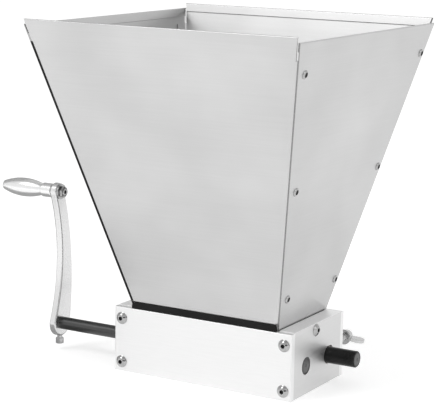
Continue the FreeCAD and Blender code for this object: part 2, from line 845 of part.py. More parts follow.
def rear_shaft():
    """The rear roller's shaft, with the drive stub on the right."""
    left = -(block_inner + d.block_thickness)
    right = end_outer + d.stub_length
    chamfer = d.end_chamfer
    relief = d.journal_radius - d.stub_relief_depth
    relief_start = end_outer - d.stub_relief_length
    profile = [(left, 0), (left, d.journal_radius), (relief_start, d.journal_radius),
               (relief_start, relief), (end_outer, relief), (end_outer, d.journal_radius),
               (right - chamfer, d.journal_radius), (right, d.journal_radius - chamfer),
               (right, 0)]
    return turned("rear_roller_shaft", profile, (0, rear_axis_y, d.roller_height))


def bearing_block(label, side):
    """The block that carries the rear roller and slides in the end plate."""
    name = f"bearing_block_{label}"
    faces = x_band(side, block_inner, block_inner + d.block_thickness)
    blank = box(name + "_blank", (faces[0], rear_axis_y - d.block_front, block_low),
                (faces[1], block_rear, block_high))
    bore = cylinder(name + "_bore", d.bush_radius, d.block_thickness,
                    (block_inner * side, rear_axis_y, d.roller_height), (side, 0, 0))
    tip_hole = cylinder(name + "_tip_hole", d.wing_shank_radius + d.close_fit,
                        d.wing_tip_depth + d.loose_fit, (wing_x * side, block_rear, d.wing_height),
                        (0, -1, 0))
    pin_hole = cylinder(name + "_pin_hole", d.screw_pin_radius,
                        d.screw_pin_length + 2 * d.screw_pin_sink,
                        (pin_x * side, pin_y, block_high), (0, 0, -1))
    return cut(name, blank, bore, tip_hole, pin_hole)


# ---------------------------------------------------------------- wing screws

def wing_screw(label, side):
    """A thumb screw: grooved tip, shank, tapered hub and two swept wings."""
    name = f"wing_screw_{label}"
    turn = Rotation(Y_AXIS, -d.wing_turn.value) * Rotation(Z_AXIS, 90)
    body = new_body(name, (wing_x * side, 0, d.wing_height), turn)
    hub_end = d.wing_hub_start + d.wing_hub_length
    shank = d.wing_shank_radius
    chamfer = d.wing_tip_chamfer
    groove_end = groove_start + d.wing_groove_width
    nose = d.wing_nose_chamfer
    profile = [(tip_y, 0), (tip_y, shank - chamfer), (tip_y + chamfer, shank),
               (groove_start, shank), (groove_start, d.wing_groove_radius),
               (groove_end, d.wing_groove_radius), (groove_end, shank),
               (d.wing_hub_start, shank), (d.wing_hub_start, d.wing_hub_radius),
               (hub_end - nose, d.wing_nose_radius), (hub_end, d.wing_nose_radius - nose),
               (hub_end, 0)]
    sketch = new_sketch(body, name + "_profile", "XZ_Plane")
    draw_outline(sketch, profile)
    revolve(body, sketch)
    base = d.wing_hub_start
    reach = d.wing_span_radius
    for wing, sign in (("upper", 1), ("lower", -1)):
        lobe = new_sketch(body, f"{name}_{wing}", "XZ_Plane")
        draw_outline(lobe, [(base + d.wing_root_start, d.wing_root_radius * sign),
                            (base + d.wing_shoulder, (reach - d.wing_shoulder_drop) * sign),
                            (base + d.wing_tip_start, reach * sign),
                            (base + d.wing_tip_end, (reach - d.wing_tip_drop) * sign),
                            (base + d.wing_root_end, d.wing_root_radius * sign)],
                     {0: (d.wing_front_bow, sign), 1: (d.wing_sweep_bow, -sign),
                      2: (d.wing_end_bow, -sign), 3: (d.wing_back_bow, sign)})
        pad(body, lobe, d.wing_thickness, both_sides=True)
    return body


def screw_pin(label, side):
    """The pin that keeps a wing screw's tip in its block."""
    return cylinder(f"screw_pin_{label}", d.screw_pin_radius - d.close_fit / 5,
                    d.screw_pin_length, (pin_x * side, pin_y, block_high - d.screw_pin_sink),
                    (0, 0, -1))


# ---------------------------------------------------------------- crank and grip

def crank_arm():
    """The bowed cast arm in the YZ plane, from the shaft's hub up to the grip's boss."""
    body = new_body("crank_blank", (crank_outer_x, 0, 0))
    hub = (d.front_axis_y, d.roller_height)
    boss = (d.crank_boss_y, d.crank_boss_z)
    for part, centre, radius in (("hub", hub, d.crank_hub_radius),
                                 ("boss", boss, d.crank_boss_radius)):
        disc = new_sketch(body, f"crank_{part}", "YZ_Plane")
        draw_circle(disc, centre, radius)
        pad(body, disc, d.crank_thickness)
        if part == "hub":
            web = new_sketch(body, "crank_web", "YZ_Plane")
            draw_outline(web, [(hub[0] - d.crank_hub_front, hub[1] + d.crank_hub_front_rise),
                               (hub[0] + d.crank_hub_rear, hub[1] - d.crank_hub_rear_drop),
                               (boss[0] + d.crank_boss_rear, boss[1] - d.crank_boss_rear_drop),
                               (boss[0] - d.crank_boss_front,
                                boss[1] - d.crank_boss_front_drop)],
                         {1: (d.crank_rear_bow, -1), 3: (d.crank_front_bow, 1)})
            pad(body, web, d.crank_thickness)
    bores = new_sketch(body, "crank_bores", "YZ_Plane")
    draw_circle(bores, hub, d.crank_shaft_radius)
    draw_circle(bores, boss, d.spindle_radius)
    pocket(body, bores, reverse=True)
    tap_start = d.roller_height - d.crank_shaft_radius + d.clamp_tap_overlap
    tap = cylinder("crank_clamp_tap", d.clamp_shank_radius,
                   d.crank_hub_radius - d.crank_shaft_radius + 2 * d.clamp_tap_overlap,
                   (crank_middle_x, d.front_axis_y, tap_start), (0, 0, -1))
    return cut("crank_arm", body, tap)


def crank_clamp_screw():
    """The cap screw under the hub that clamps the arm on its shaft."""
    head_top = d.roller_height - d.crank_hub_radius - d.clamp_reach
    shaft_bottom = d.roller_height - d.crank_shaft_radius
    shank = cylinder("clamp_shank", d.clamp_shank_radius, shaft_bottom - head_top,
                     (crank_middle_x, d.front_axis_y, head_top), (0, 0, 1))
    head = cylinder("clamp_head", d.clamp_head_radius, d.clamp_head_height,
                    (crank_middle_x, d.front_axis_y, head_top), (0, 0, -1))
    socket = hexagon("clamp_socket", d.hex_socket_radius, d.hex_socket_depth,
                     (crank_middle_x, d.front_axis_y, head_top - d.clamp_head_height),
                     (0, 0, 1))
    return cut("crank_clamp_screw", fuse("clamp_blank", shank, head), socket)


def outward_left():
    """The rotation of a piece drawn along +X that points to the crank side."""
    return Rotation(Z_AXIS, 180)


def grip():
    """The turned grip: collar, neck and a bowed hand part, bored for its spindle."""
    length = d.grip_length
    bore = d.spindle_radius + d.spindle_clearance
    bore_end = d.spindle_reach + d.grip_bore_end
    room_start = d.spindle_reach - d.ring_from_end
    room_end = room_start + d.grip_ring_room
    room_radius = bore + d.grip_ring_depth
    collar = d.grip_collar_radius
    chamfer = d.grip_collar_chamfer
    profile = [(0, bore), (0, collar - chamfer), (chamfer, collar),
               (d.grip_collar_length, collar),
               (d.grip_collar_length + d.grip_neck_step, d.grip_neck_radius),
               (length - d.grip_end_length, d.grip_end_radius),
               (length, d.grip_end_radius - d.grip_end_inset), (length, 0), (bore_end, 0),
               (bore_end, bore), (room_end, bore), (room_end, room_radius),
               (room_start, room_radius), (room_start, bore)]
    return turned("crank_grip", profile, (grip_start_x, d.crank_boss_y, d.crank_boss_z),
                  outward_left(), {4: (d.grip_bow, 1), 5: (d.grip_end_bow, 1)})


def grip_spindle():
    """The spindle from its socketed end at the nut to its groove inside the grip."""
    inner_end = d.washer_thickness + d.grip_nut_thickness + d.spindle_stand
    start = d.crank_inner_x + inner_end
    reach = d.crank_thickness + inner_end + d.spacer_thickness + d.grip_gap + d.spindle_reach
    ring_start = reach - d.ring_from_end + d.loose_fit
    ring_end = ring_start + d.ring_thickness
    radius = d.spindle_radius
    chamfer = d.ring_inner_step
    centre = (start, d.crank_boss_y, d.crank_boss_z)
    profile = [(0, 0), (0, radius - chamfer), (chamfer, radius), (ring_start, radius),
               (ring_start, radius - d.ring_inner_step), (ring_end, radius - d.ring_inner_step),
               (ring_end, radius), (reach, radius), (reach, 0)]
    blank = turned("grip_spindle_blank", profile, centre, outward_left())
    socket = hexagon("grip_spindle_socket", d.spindle_socket_radius, d.spindle_socket_depth,
                     centre, (-1, 0, 0))
    return cut("grip_spindle", blank, socket)


def ring(name, inner, outer, thickness, x):
    """A flat ring on the spindle, from a plane towards the crank side."""
    profile = [(0, inner), (thickness, inner), (thickness, outer), (0, outer)]
    return turned(name, profile, (x, d.crank_boss_y, d.crank_boss_z), outward_left())


def grip_nut():
    """The hexagon nut on the arm's inner side."""
    start = (d.crank_inner_x + d.washer_thickness, d.crank_boss_y, d.crank_boss_z)
    blank = hexagon("grip_nut_blank", d.grip_nut_radius, d.grip_nut_thickness, start, (1, 0, 0),
                    d.grip_nut_turn.value)
    bore = cylinder("grip_nut_bore", d.spindle_radius, d.grip_nut_thickness, start, (1, 0, 0))
    return cut("grip_nut", blank, bore)


# ---------------------------------------------------------------- the whole mill

def build():
    """Every node of the mill, by name."""
    nodes = {}
    for label, side in SIDES.items():
        nodes[f"end_plate_{label}"] = end_plate(label, side)
        nodes[f"front_bush_{label}"] = flanged_bush(
            f"front_bush_{label}", end_inner - d.bush_flange, d.bush_flange, d.bush_depth,
            d.front_axis_y, side)
        nodes[f"rear_bush_{label}"] = flanged_bush(
            f"rear_bush_{label}", block_inner - d.bush_flange, d.bush_flange, d.block_thickness,
            rear_axis_y, side)
        nodes[f"bearing_block_{label}"] = bearing_block(label, side)
        nodes[f"wing_screw_{label}"] = wing_screw(label, side)
        nodes[f"screw_pin_{label}"] = screw_pin(label, side)
        nodes[f"hopper_{label}_panel"] = side_panel(label, side)
        nodes[f"hopper_rivets_{label}"] = side_rivets(label, side)
        screw, nut = hopper_fixing(label, side)
        nodes[f"hopper_screw_{label}"] = screw
        nodes[f"hopper_nut_{label}"] = nut
    for label, end in ENDS.items():
        nodes[f"{label}_plate"] = cover_plate(label, end)
        nodes[f"{label}_plate_screws"] = cover_screws(label, end)
        nodes[f"hopper_{label}_panel"] = wide_panel(label, end)
        nodes[f"hopper_seal_{label}"] = seal_strip(label, end)
    nodes["front_roller_drum"] = drum("front_roller_drum", d.front_axis_y)
    nodes["rear_roller_drum"] = drum("rear_roller_drum", rear_axis_y)
    nodes["front_roller_shaft"] = front_shaft()
    nodes["rear_roller_shaft"] = rear_shaft()
    nodes["crank_arm"] = crank_arm()
    nodes["crank_clamp_screw"] = crank_clamp_screw()
    nodes["crank_grip"] = grip()
    nodes["grip_spindle"] = grip_spindle()
    nodes["grip_nut"] = grip_nut()
    radius = d.spindle_radius
    nodes["grip_washer"] = ring("grip_washer", radius, d.washer_radius, d.washer_thickness,
                                d.crank_inner_x + d.washer_thickness)
    nodes["grip_spacer"] = ring("grip_spacer", radius, d.spacer_radius, d.spacer_thickness,
                                crank_outer_x)
    nodes["grip_retaining_ring"] = ring(
        "grip_retaining_ring", radius - d.ring_inner_step, radius + d.ring_outer_step,
        d.ring_thickness, grip_start_x - d.spindle_reach + d.ring_from_end - d.loose_fit)
    return nodes


def write(nodes):
    """Checks every object and then writes one STEP file for each node."""
    doc.recompute()
    failed = [o.Name for o in doc.Objects if {"Invalid", "Error"} & set(o.State)]
    if failed:
        raise RuntimeError("failed objects: " + ", ".join(failed))
    for name, node in nodes.items():
        node.Label = name
        if node.Shape.isNull() or not node.Shape.isValid() or not node.Shape.Solids:
            raise RuntimeError("bad shape: " + name)
    os.makedirs("parts", exist_ok=True)
    for name, node in nodes.items():
        node.Shape.exportStep(f"parts/{name}.step")
        box_ = node.Shape.BoundBox
        print(f"{name:22s} solids {len(node.Shape.Solids)} volume {node.Shape.Volume:10.1f}"
              f"  x {box_.XMin:7.1f} {box_.XMax:7.1f}  y {box_.YMin:7.1f} {box_.YMax:7.1f}"
              f"  z {box_.ZMin:7.1f} {box_.ZMax:7.1f}")


write(build())
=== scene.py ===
"""The looks of a two-roller grain mill with a sheet steel hopper and a hand crank.

Everything is in metres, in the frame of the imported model: X along the rollers with the crank
at -X, Y from the front plate to the rear plate, Z up from the housing's underside. Places come
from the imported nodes; sizes that a node's box can't give are named below.
"""

import math

import bmesh
import bpy
from mathutils import Matrix, Vector

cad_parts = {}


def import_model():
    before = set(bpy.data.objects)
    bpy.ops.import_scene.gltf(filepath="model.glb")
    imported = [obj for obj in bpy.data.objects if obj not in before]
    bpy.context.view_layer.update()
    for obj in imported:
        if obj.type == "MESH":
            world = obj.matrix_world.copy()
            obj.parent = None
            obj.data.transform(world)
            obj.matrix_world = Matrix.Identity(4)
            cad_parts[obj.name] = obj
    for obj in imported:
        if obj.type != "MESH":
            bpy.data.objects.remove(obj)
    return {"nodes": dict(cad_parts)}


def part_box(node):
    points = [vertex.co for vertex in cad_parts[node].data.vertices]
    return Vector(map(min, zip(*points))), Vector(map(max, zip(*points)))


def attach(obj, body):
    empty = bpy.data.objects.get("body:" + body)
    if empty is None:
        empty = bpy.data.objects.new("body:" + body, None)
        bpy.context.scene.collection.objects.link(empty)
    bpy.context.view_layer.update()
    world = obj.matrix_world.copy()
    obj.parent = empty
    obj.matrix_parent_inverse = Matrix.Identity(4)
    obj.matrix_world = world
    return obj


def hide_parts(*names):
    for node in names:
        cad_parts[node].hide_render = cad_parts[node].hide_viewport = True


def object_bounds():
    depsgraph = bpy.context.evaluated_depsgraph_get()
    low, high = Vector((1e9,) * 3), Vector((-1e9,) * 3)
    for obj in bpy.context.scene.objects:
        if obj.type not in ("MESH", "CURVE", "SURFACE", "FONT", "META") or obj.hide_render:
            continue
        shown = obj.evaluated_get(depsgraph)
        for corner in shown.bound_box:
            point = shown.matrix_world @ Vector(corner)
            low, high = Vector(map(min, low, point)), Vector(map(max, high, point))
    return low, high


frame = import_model()
cad_low, cad_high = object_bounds()

MM = 0.001
SIDES = {"left": -1, "right": 1}
ENDS = {"front": -1, "rear": 1}
X_AXIS = Vector((1, 0, 0))
Y_AXIS = Vector((0, 1, 0))
Z_AXIS = Vector((0, 0, 1))


# ---------------------------------------------------------------- places read from the frame

def centre(node):
    """The middle of a node's box."""
    low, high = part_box(node)
    return (low + high) / 2


class Hopper:
    """The four-sided funnel: its widths at any height, and its sheet."""

    sheet = 0.8 * MM
    bend = 2.0 * MM
    bend_steps = 6
    columns = 10
    hem_height = 6.0 * MM
    hem_radius = 0.9 * MM
    hem_rows = 6
    low_half_y = 40.2 * MM
    low_half_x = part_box("hopper_right_panel")[0].x + sheet
    fold_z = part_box("end_plate_left")[1].z + 4.7 * MM
    side_fold_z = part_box("end_plate_left")[1].z + 0.4 * MM
    top_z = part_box("hopper_front_panel")[1].z
    notch_z = top_z - 16.5 * MM
    notch_step = 1.4 * MM
    flange_z = fold_z + 0.8 * MM
    flange_reach = {"front": 20.0 * MM, "rear": 13.0 * MM}
    side_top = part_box("hopper_right_panel")[1]
    slope_x = (side_top.x - low_half_x) / (side_top.z - side_fold_z)
    slope_y = (-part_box("hopper_front_panel")[0].y - low_half_y) / (top_z - fold_z)

    @classmethod
    def half_x(cls, z):
        """Half the outer width along X at a height."""
        return cls.low_half_x + cls.slope_x * (z - cls.side_fold_z)

    @classmethod
    def half_y(cls, z):
        """Half the outer depth along Y at a height."""
        return cls.low_half_y + cls.slope_y * (z - cls.fold_z)


# ---------------------------------------------------------------- materials

class Nodes:
    """A material's node tree, built from its Principled shader outwards."""

    def __init__(self, name):
        self.material = bpy.data.materials.new(name)
        self.material.use_nodes = True
        self.tree = self.material.node_tree
        self.shader = self.tree.nodes["Principled BSDF"]

    def add(self, kind, inputs=None, **settings):
        """A node with its settings, and its inputs set to values or linked to sockets."""
        node = self.tree.nodes.new(kind)
        for key, value in settings.items():
            setattr(node, key, value)
        for key, value in (inputs or {}).items():
            self.put(node.inputs[key], value)
        return node

    def put(self, socket, value):
        """Sets a socket, or links it."""
        if isinstance(value, bpy.types.NodeSocket):
            self.tree.links.new(value, socket)
        else:
            socket.default_value = value

    def noise(self, scale, stretch=(1, 1, 1), detail=3.0):
        """Noise in the object's own metres, with a number of cells per metre along each axis."""
        place = self.add("ShaderNodeTexCoord").outputs["Object"]
        mapping = self.add("ShaderNodeMapping", {"Vector": place, "Scale": stretch})
        texture = self.add("ShaderNodeTexNoise", {"Vector": mapping.outputs["Vector"],
                                                  "Scale": scale, "Detail": detail})
        return texture.outputs["Fac"]

    def spread(self, value, low, high, start=0.3, end=0.7):
        """Maps a noise value to a range."""
        node = self.add("ShaderNodeMapRange", {"Value": value, "From Min": start,
                                               "From Max": end, "To Min": low, "To Max": high})
        return node.outputs["Result"]

    def total(self, first, second, operation="ADD"):
        """Two values added, or joined by another operation."""
        node = self.add("ShaderNodeMath", {0: first, 1: second}, operation=operation)
        return node.outputs["Value"]

    def colours(self, factor, stops):
        """A colour ramp over (position, colour) pairs."""
        ramp = self.add("ShaderNodeValToRGB", {"Fac": factor})
        elements = ramp.color_ramp.elements
        while len(elements) < len(stops):
            elements.new(0.5)
        for element, (position, colour) in zip(elements, stops):
            element.position = position
            element.color = (*colour, 1)
        return ramp.outputs["Color"]

    def bump(self, height, distance):
        """The normals of a height field."""
        inputs = {"Height": height, "Distance": distance, "Strength": 1.0}
        return self.add("ShaderNodeBump", inputs).outputs["Normal"]


def grey(value):
    """A neutral colour."""
    return (value, value, value)


def metal(name, tone, swing, roughness, rough_swing, grain, stretch, grain_depth, smudge=12.0,
          smudge_share=0.35):
    """A bare or coated metal: grain along its finish, and faint smudges."""
    n = Nodes(name)
    fine = n.noise(grain, stretch, 4.0)
    slow = n.noise(smudge, (1, 1, 1), 2.0)
    mixed = n.total(n.total(fine, 1 - smudge_share, "MULTIPLY"),
                    n.total(slow, smudge_share, "MULTIPLY"))
    stops = [(0.3, grey(tone - swing)), (0.7, grey(tone + swing))]
    n.put(n.shader.inputs["Base Color"], n.colours(mixed, stops))
    n.put(n.shader.inputs["Roughness"],
          n.spread(mixed, roughness - rough_swing, roughness + rough_swing))
    n.shader.inputs["Metallic"].default_value = 1.0
    n.put(n.shader.inputs["Normal"], n.bump(fine, grain_depth))
    return n.material


def two_tone(name, low_tone, high_tone, level, roughness, stretch=(1, 1, 1), swing=0.3):
    """Metal with one tone below a level and another above it."""
    n = Nodes(name)
    fine = n.noise(1200.0, stretch)
    place = n.add("ShaderNodeTexCoord").outputs["Object"]
    height = n.add("ShaderNodeSeparateXYZ", {"Vector": place}).outputs["Z"]
    above = n.total(height, level, "GREATER_THAN")
    mixed = n.total(n.total(fine, 0.2, "MULTIPLY"), n.total(above, 0.7, "MULTIPLY"))
    stops = [(0.04, grey(low_tone * (1 - swing))), (0.14, grey(low_tone * (1 + swing))),
             (0.76, grey(high_tone))]
    n.put(n.shader.inputs["Base Color"], n.colours(mixed, stops))
    n.put(n.shader.inputs["Roughness"], n.spread(fine, *roughness))
    n.shader.inputs["Metallic"].default_value = 1.0
    n.put(n.shader.inputs["Normal"], n.bump(fine, 0.00001))
    return n.material


def rubber(name, tone):
    """Dull black rubber with a fine skin."""
    n = Nodes(name)
    fine = n.noise(1400.0)
    slow = n.noise(40.0)
    stops = [(0.3, grey(tone * 0.8)), (0.7, grey(tone * 1.3))]
    n.put(n.shader.inputs["Base Color"], n.colours(slow, stops))
    n.put(n.shader.inputs["Roughness"], n.spread(fine, 0.35, 0.5))
    n.shader.inputs["Specular IOR Level"].default_value = 0.18
    n.put(n.shader.inputs["Normal"], n.bump(fine, 0.00006))
    return n.material


def plastic(name, colour):
    """A small moulded plastic part."""
    n = Nodes(name)
    fine = n.noise(900.0)
    darker = tuple(0.9 * part for part in colour)
    n.put(n.shader.inputs["Base Color"], n.colours(fine, [(0.3, darker), (0.7, colour)]))
    n.put(n.shader.inputs["Roughness"], n.spread(fine, 0.35, 0.45))
    n.put(n.shader.inputs["Normal"], n.bump(fine, 0.00002))
    return n.material


def bronze(name):
    """Oily sintered bronze, with fine dark pores."""
    n = Nodes(name)
    pores = n.noise(2500.0, (1, 1, 1), 2.0)
    stops = [(0.3, (0.16, 0.10, 0.05)), (0.45, (0.50, 0.34, 0.18)), (0.7, (0.58, 0.40, 0.22))]
    n.put(n.shader.inputs["Base Color"], n.colours(pores, stops))
    n.put(n.shader.inputs["Roughness"], n.spread(pores, 0.5, 0.32))
    n.put(n.shader.inputs["Normal"], n.bump(pores, 0.00003))
    n.shader.inputs["Metallic"].default_value = 1.0
    return n.material


def studio_paint(name, tone, glow=0.0):
    """The matt paint of the studio's floor and cards."""
    n = Nodes(name)
    slow = n.noise(3.0)
    n.put(n.shader.inputs["Base Color"],
          n.colours(slow, [(0.3, grey(tone - 0.01)), (0.7, grey(tone + 0.01))]))
    n.shader.inputs["Roughness"].default_value = 0.9
    n.shader.inputs["Specular IOR Level"].default_value = 0.0
    n.shader.inputs["Emission Color"].default_value = (1, 1, 1, 1)
    n.shader.inputs["Emission Strength"].default_value = glow
    return n.material


# A stretch is small along the axis that its grain runs along.
# The front and rear sheets are a touch lighter than the side sheets: painted light on those
# faces.
brushed_x = metal("brushed_sheet_x", 0.575, 0.05, 0.34, 0.05, 900.0, (0.02, 1, 1), 0.000003,
                  smudge=13.0, smudge_share=0.8)
brushed_y = metal("brushed_sheet_y", 0.555, 0.05, 0.34, 0.05, 900.0, (1, 0.02, 1), 0.000003,
                  smudge=13.0, smudge_share=0.8)
plate_x = metal("plate_aluminium_x", 0.83, 0.02, 0.44, 0.05, 1500.0, (0.05, 1, 1), 0.000008)
# The end plates: a darker copy of the plate aluminium, painted shade on their sides, with the
# face above the level painted lighter as painted light on the top.
plate_y = two_tone("plate_aluminium_y", 0.68, 0.96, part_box("end_plate_right")[1].z - 0.3 * MM,
                   (0.40, 0.48), (1, 0.05, 1), 0.03)
cast = metal("cast_aluminium", 0.75, 0.02, 0.27, 0.015, 90.0, (1, 1, 1), 0.000002, smudge=40.0)
polished = metal("polished_aluminium", 0.84, 0.02, 0.25, 0.015, 90.0, (1, 1, 1), 0.000002,
                 smudge=40.0)
thumb = metal("thumb_screw_zinc", 0.62, 0.03, 0.27, 0.015, 150.0, (1, 1, 1), 0.000002,
              smudge=60.0)
zinc = metal("screw_steel", 0.42, 0.06, 0.17, 0.05, 700.0, (1, 1, 1), 0.00001, smudge=90.0)
oxide = metal("black_steel", 0.028, 0.008, 0.30, 0.06, 2600.0, (1, 0.2, 0.2), 0.000004,
              smudge=60.0)
# A lighter copy of black_steel for the crank shaft: painted light standing in for the broad
# highlight along it.
oxide_painted_lit = metal("black_steel_painted_lit", 0.085, 0.012, 0.34, 0.06, 2600.0, (1, 0.2, 0.2), 0.000004,
                   smudge=60.0)
# A lighter grey for the shafts' end faces than the black steel around them.
end_grey = metal("shaft_end_grey", 0.12, 0.03, 0.34, 0.06, 900.0, (1, 1, 1), 0.00001)
cap_steel = metal("cap_screw_steel", 0.62, 0.05, 0.30, 0.06, 900.0, (1, 1, 1), 0.00001)
roller = metal("roller_steel", 0.42, 0.05, 0.38, 0.08, 900.0, (1, 1, 1), 0.00001, smudge=30.0)
cut_edge = metal("sheet_cut_edge", 0.30, 0.06, 0.45, 0.08, 1200.0, (1, 1, 1), 0.00001)
# Near-black below the notch and grey above it: a painted dark line on the left corner's edges,
# standing in for the dark reflection there.
painted_dark_edge = two_tone("sheet_edge_painted_dark_line", 0.035, 0.42, Hopper.notch_z, (0.35, 0.5))
# Near-black for the rivets' hollows and the screws' sockets: painted shade.
hollow_shade = metal("hollow_painted_shade", 0.04, 0.015, 0.5, 0.08, 2000.0, (1, 1, 1), 0.00002)
bush = bronze("bush_bronze")
seal = rubber("seal_rubber", 0.006)
spacer = plastic("spacer_nylon", (0.03, 0.03, 0.032))


# ---------------------------------------------------------------- shapes

def skin(rings, closed=True):
    """Vertices and faces between rings of equal length; a ring of one point is a pole."""
    count = max(len(ring) for ring in rings)
    verts, numbers = [], []
    for ring in rings:
        first = len(verts)
        verts.extend(Vector(point) for point in ring)
        numbers.append([first] * count if len(ring) == 1
                       else list(range(first, first + count)))
    faces = []
    for lower, upper in zip(numbers, numbers[1:]):
        for i in range(count if closed else count - 1):
            j = (i + 1) % count
            face = list(dict.fromkeys([lower[i], lower[j], upper[j], upper[i]]))
            if len(face) > 2:
                faces.append(face)
    return verts, faces


def joined(*shapes):
    """Several shapes as one."""
    verts, faces = [], []
    for more_verts, more_faces in shapes:
        first = len(verts)
        verts.extend(more_verts)
        faces.extend([first + i for i in face] for face in more_faces)
    return verts, faces


def placed(shape, matrix):
    """A shape moved by a matrix."""
    verts, faces = shape
    return [matrix @ v for v in verts], faces


def standing(spot, axis, turn=0.0):
    """The matrix that puts +Z of a shape along an axis at a spot, after a turn about +Z."""
    lean = Z_AXIS.rotation_difference(Vector(axis)).to_matrix().to_4x4()
    return Matrix.Translation(spot) @ lean @ Matrix.Rotation(turn, 4, "Z")


def rounded(points, radius, steps=4, loop=False):
    """A polyline with its corners rounded; radius is one number, or one for each corner."""
    points = [Vector(p) for p in points]
    count = len(points)
    radii = radius if isinstance(radius, (list, tuple)) else [radius] * count
    result = []
    for i, corner in enumerate(points):
        if not loop and i in (0, count - 1) or radii[i] == 0:
            result.append(corner)
            continue
        before, after = points[i - 1], points[(i + 1) % count]
        back, ahead = (before - corner), (after - corner)
        turn = math.pi - back.angle(ahead)
        reach = min(radii[i] * math.tan(turn / 2), back.length * 0.48, ahead.length * 0.48)
        back.normalize()
        ahead.normalize()
        for k in range(steps + 1):
            s = k / steps
            result.append(corner + back * (reach * (1 - s) ** 2) + ahead * (reach * s ** 2))
    return result


def arc(middle, radius, start, end, steps):
    """Points on a circle between two angles in degrees."""
    angles = [math.radians(start + (end - start) * i / steps) for i in range(steps + 1)]
    return [Vector((middle[0] + radius * math.cos(a), middle[1] + radius * math.sin(a)))
            for a in angles]


def bowed(start, end, radius, side, steps=14):
    """Points between two ends on an arc that bulges to the left (side 1) or right (-1)."""
    start, end = Vector(start), Vector(end)
    chord = end - start
    half = chord.length / 2
    left = Vector((-chord.y, chord.x)).normalized() * side
    sink = math.sqrt(radius ** 2 - half ** 2)
    middle = (start + end) / 2 - left * sink
    spread = math.asin(half / radius)
    points = []
    for i in range(steps + 1):
        angle = spread * (2 * i / steps - 1)
        points.append(middle + left * (radius * math.cos(angle))
                      + chord.normalized() * (radius * math.sin(angle)))
    return points


def turned(profile, segments=48):
    """A surface of revolution about Z from (distance, radius) pairs; radius 0 is a pole."""
    rings = []
    for distance, radius in profile:
        if radius < 1e-9:
            rings.append([(0, 0, distance)])
            continue
        rings.append([(radius * math.cos(2 * math.pi * i / segments),
                       radius * math.sin(2 * math.pi * i / segments), distance)
                      for i in range(segments)])
    return skin(rings)


def hex_ring(circumradius, height, segments=48, rounding=1.0):
    """A hexagon's outline as a ring; rounding under 1 cuts its corners."""
    apothem = circumradius * math.cos(math.pi / 6)
    ring = []
    for i in range(segments):
        angle = 2 * math.pi * i / segments
        radius = apothem / math.cos(angle % (math.pi / 3) - math.pi / 6)
        radius = min(radius, circumradius * rounding)
        ring.append((radius * math.cos(angle), radius * math.sin(angle), height))
    return ring


def circle_ring(radius, height, segments=48):
    """A circle as a ring."""
    return [(radius * math.cos(2 * math.pi * i / segments),
             radius * math.sin(2 * math.pi * i / segments), height) for i in range(segments)]


def slab(outline, thickness):
    """A flat closed outline (x, y) given a thickness along Z, centred."""
    half = thickness / 2
    count = len(outline)
    verts = [Vector((p[0], p[1], z)) for z in (-half, half) for p in outline]
    faces = [list(range(count))[::-1], list(range(count, 2 * count))]
    faces += [[i, (i + 1) % count, count + (i + 1) % count, count + i] for i in range(count)]
    return verts, faces


def piece(name, shape, material, body, nodes, sheet=0.0, bevel=0.0, segments=2,
          smooth=35.0, bevel_angle=40.0, rim=None, rim_faces=()):
    """A finished object: merged, smoothed, thickened or bevelled, and riding on its body."""
    verts, faces = shape
    bm = bmesh.new()
    made = [bm.verts.new(v) for v in verts]
    for face in faces:
        bm.faces.new([made[i] for i in face])
    bmesh.ops.remove_doubles(bm, verts=bm.verts, dist=1e-7)
    if not sheet:
        bmesh.ops.recalc_face_normals(bm, faces=bm.faces)
    mesh = bpy.data.meshes.new(name)
    bm.to_mesh(mesh)
    bm.free()
    mesh.polygons.foreach_set("use_smooth", [smooth > 0] * len(mesh.polygons))
    if smooth:
        mesh.set_sharp_from_angle(angle=math.radians(smooth))
    mesh.materials.append(material)
    obj = bpy.data.objects.new(name, mesh)
    bpy.context.scene.collection.objects.link(obj)
    if sheet:
        thick = obj.modifiers.new("sheet", "SOLIDIFY")
        thick.thickness = sheet
        thick.offset = -1
        thick.use_even_offset = True
        if rim:
            mesh.materials.append(rim)
            thick.material_offset_rim = 1
            for i in rim_faces:
                mesh.polygons[i].material_index = 1
    if bevel:
        edge = obj.modifiers.new("edges", "BEVEL")
        edge.width = bevel
        edge.segments = segments
        edge.limit_method = "ANGLE"
        edge.angle_limit = math.radians(bevel_angle)
        edge.harden_normals = True
    if smooth:
        weighted = obj.modifiers.new("normals", "WEIGHTED_NORMAL")
        weighted.keep_sharp = True
    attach(obj, body)
    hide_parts(*nodes)


# ---------------------------------------------------------------- hopper

def hem_profile(distance, slope, low, high):
    """A sheet's outer line from a low to a high level, folded over inwards at the top."""
    up = Vector((slope, 1)).normalized()
    inward = Vector((-up.y, up.x))
    radius = Hopper.hem_radius
    turn_z = high - radius - radius * inward.y
    start = Vector((distance(low), low))
    top = Vector((distance(turn_z), turn_z))
    middle = top + inward * radius
    first = math.degrees(math.atan2(-inward.y, -inward.x))
    fold = arc(middle, radius, first, first + 180, 10)
    return start, fold, fold[-1] - up * Hopper.hem_height


